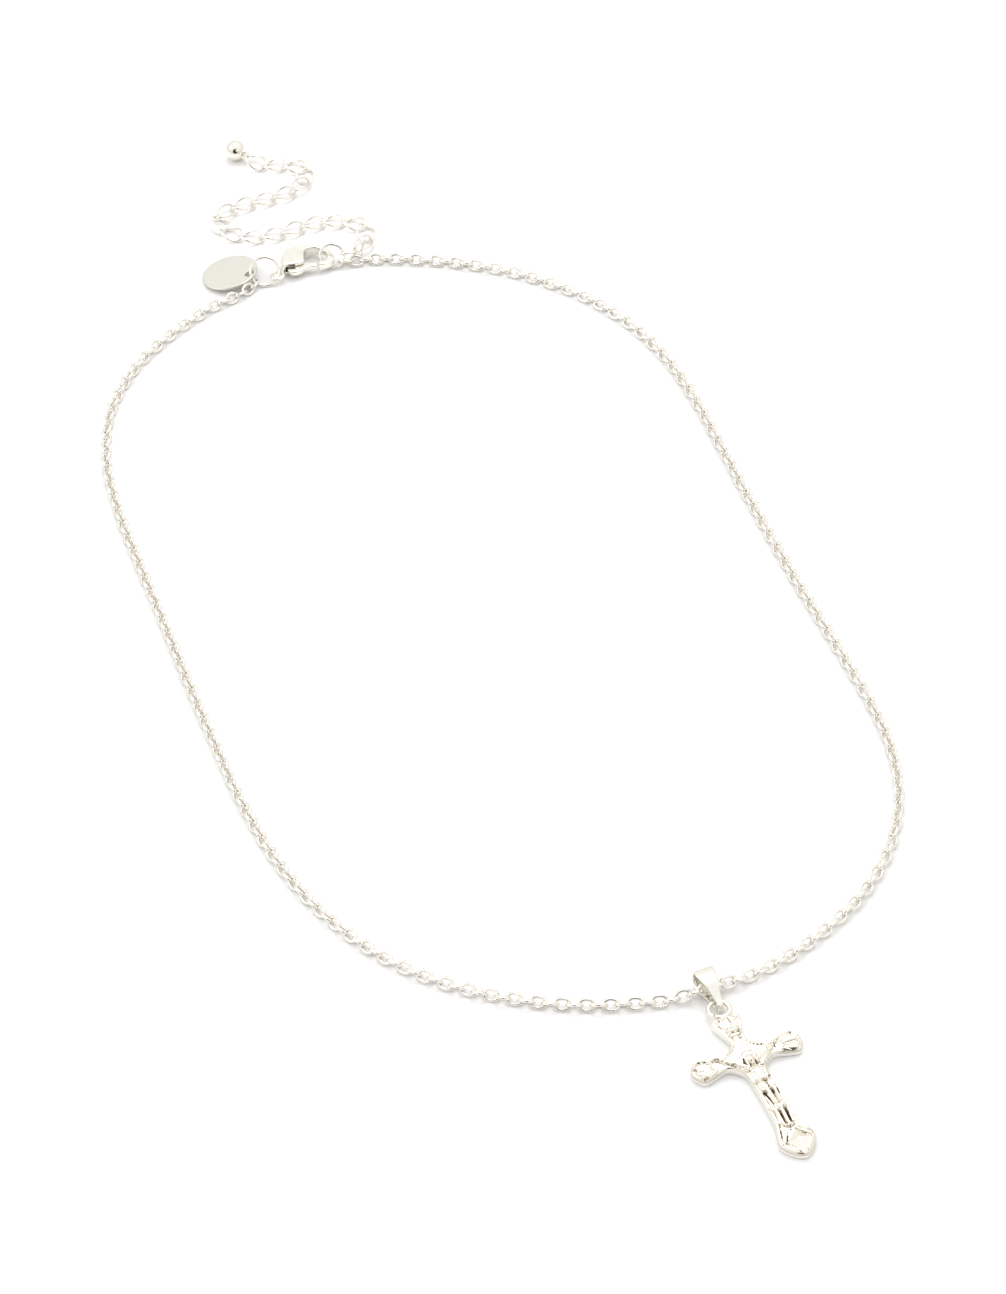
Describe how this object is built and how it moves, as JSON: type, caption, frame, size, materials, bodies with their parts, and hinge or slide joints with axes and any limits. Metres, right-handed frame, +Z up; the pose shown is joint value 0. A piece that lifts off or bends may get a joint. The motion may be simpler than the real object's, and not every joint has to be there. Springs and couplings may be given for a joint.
{
  "type": "crucifix pendant necklace",
  "caption": "Fine cable chain in one closed loop with a flat cast crucifix on a folded strap bail, a lobster clasp, a plain round tag and a curb-link extender ending in a ball.",
  "frame": {"origin": "centre of the bounding box in plan, on the table plane under the part", "axes": "+Z up from the table; -Y the way the pendant points, +Y towards the clasp and extender; +X to the right as seen from the pendant end"},
  "size_m": [0.1184, 0.2338, 0.0036],
  "materials": {
    "silver_cast": "bright cast silver plating, darker in its recesses",
    "silver_wire": "bright polished silver-plated wire",
    "silver_sheet": "polished silver-plated sheet, satin on the tag"
  },
  "bodies": {
    "necklace": {"cross": "silver_cast", "bail": "silver_sheet", "chain_left": "silver_wire", "chain_right": "silver_wire", "clasp_body": "silver_cast", "tag": "silver_sheet", "jump_ring": "silver_wire", "end_ring": "silver_wire", "extender_joiner": "silver_wire", "extender_ring": "silver_wire", "ball_drop": "silver_sheet", "extender_link_01": "silver_wire", "extender_link_02": "silver_wire", "extender_link_03": "silver_wire", "extender_link_04": "silver_wire", "extender_link_05": "silver_wire", "extender_link_06": "silver_wire", "extender_link_07": "silver_wire", "extender_link_08": "silver_wire", "extender_link_09": "silver_wire", "extender_link_10": "silver_wire", "extender_link_11": "silver_wire", "extender_link_12": "silver_wire", "extender_link_13": "silver_wire", "extender_link_14": "silver_wire", "extender_link_15": "silver_wire", "extender_link_16": "silver_wire", "extender_link_17": "silver_wire", "extender_link_18": "silver_wire", "extender_link_19": "silver_wire"},
    "clasp_lever": {"clasp_lever": "silver_cast"}
  },
  "joints": [
    {"name": "clasp_lever_hinge", "type": "hinge", "parent": "necklace", "child": "clasp_lever", "pos_m": [-0.0281, 0.0838, 0.00125], "axis": [0, 0, 1], "range_deg": [0, 20], "stiffness_Nm_per_rad": 0.0004}
  ]
}
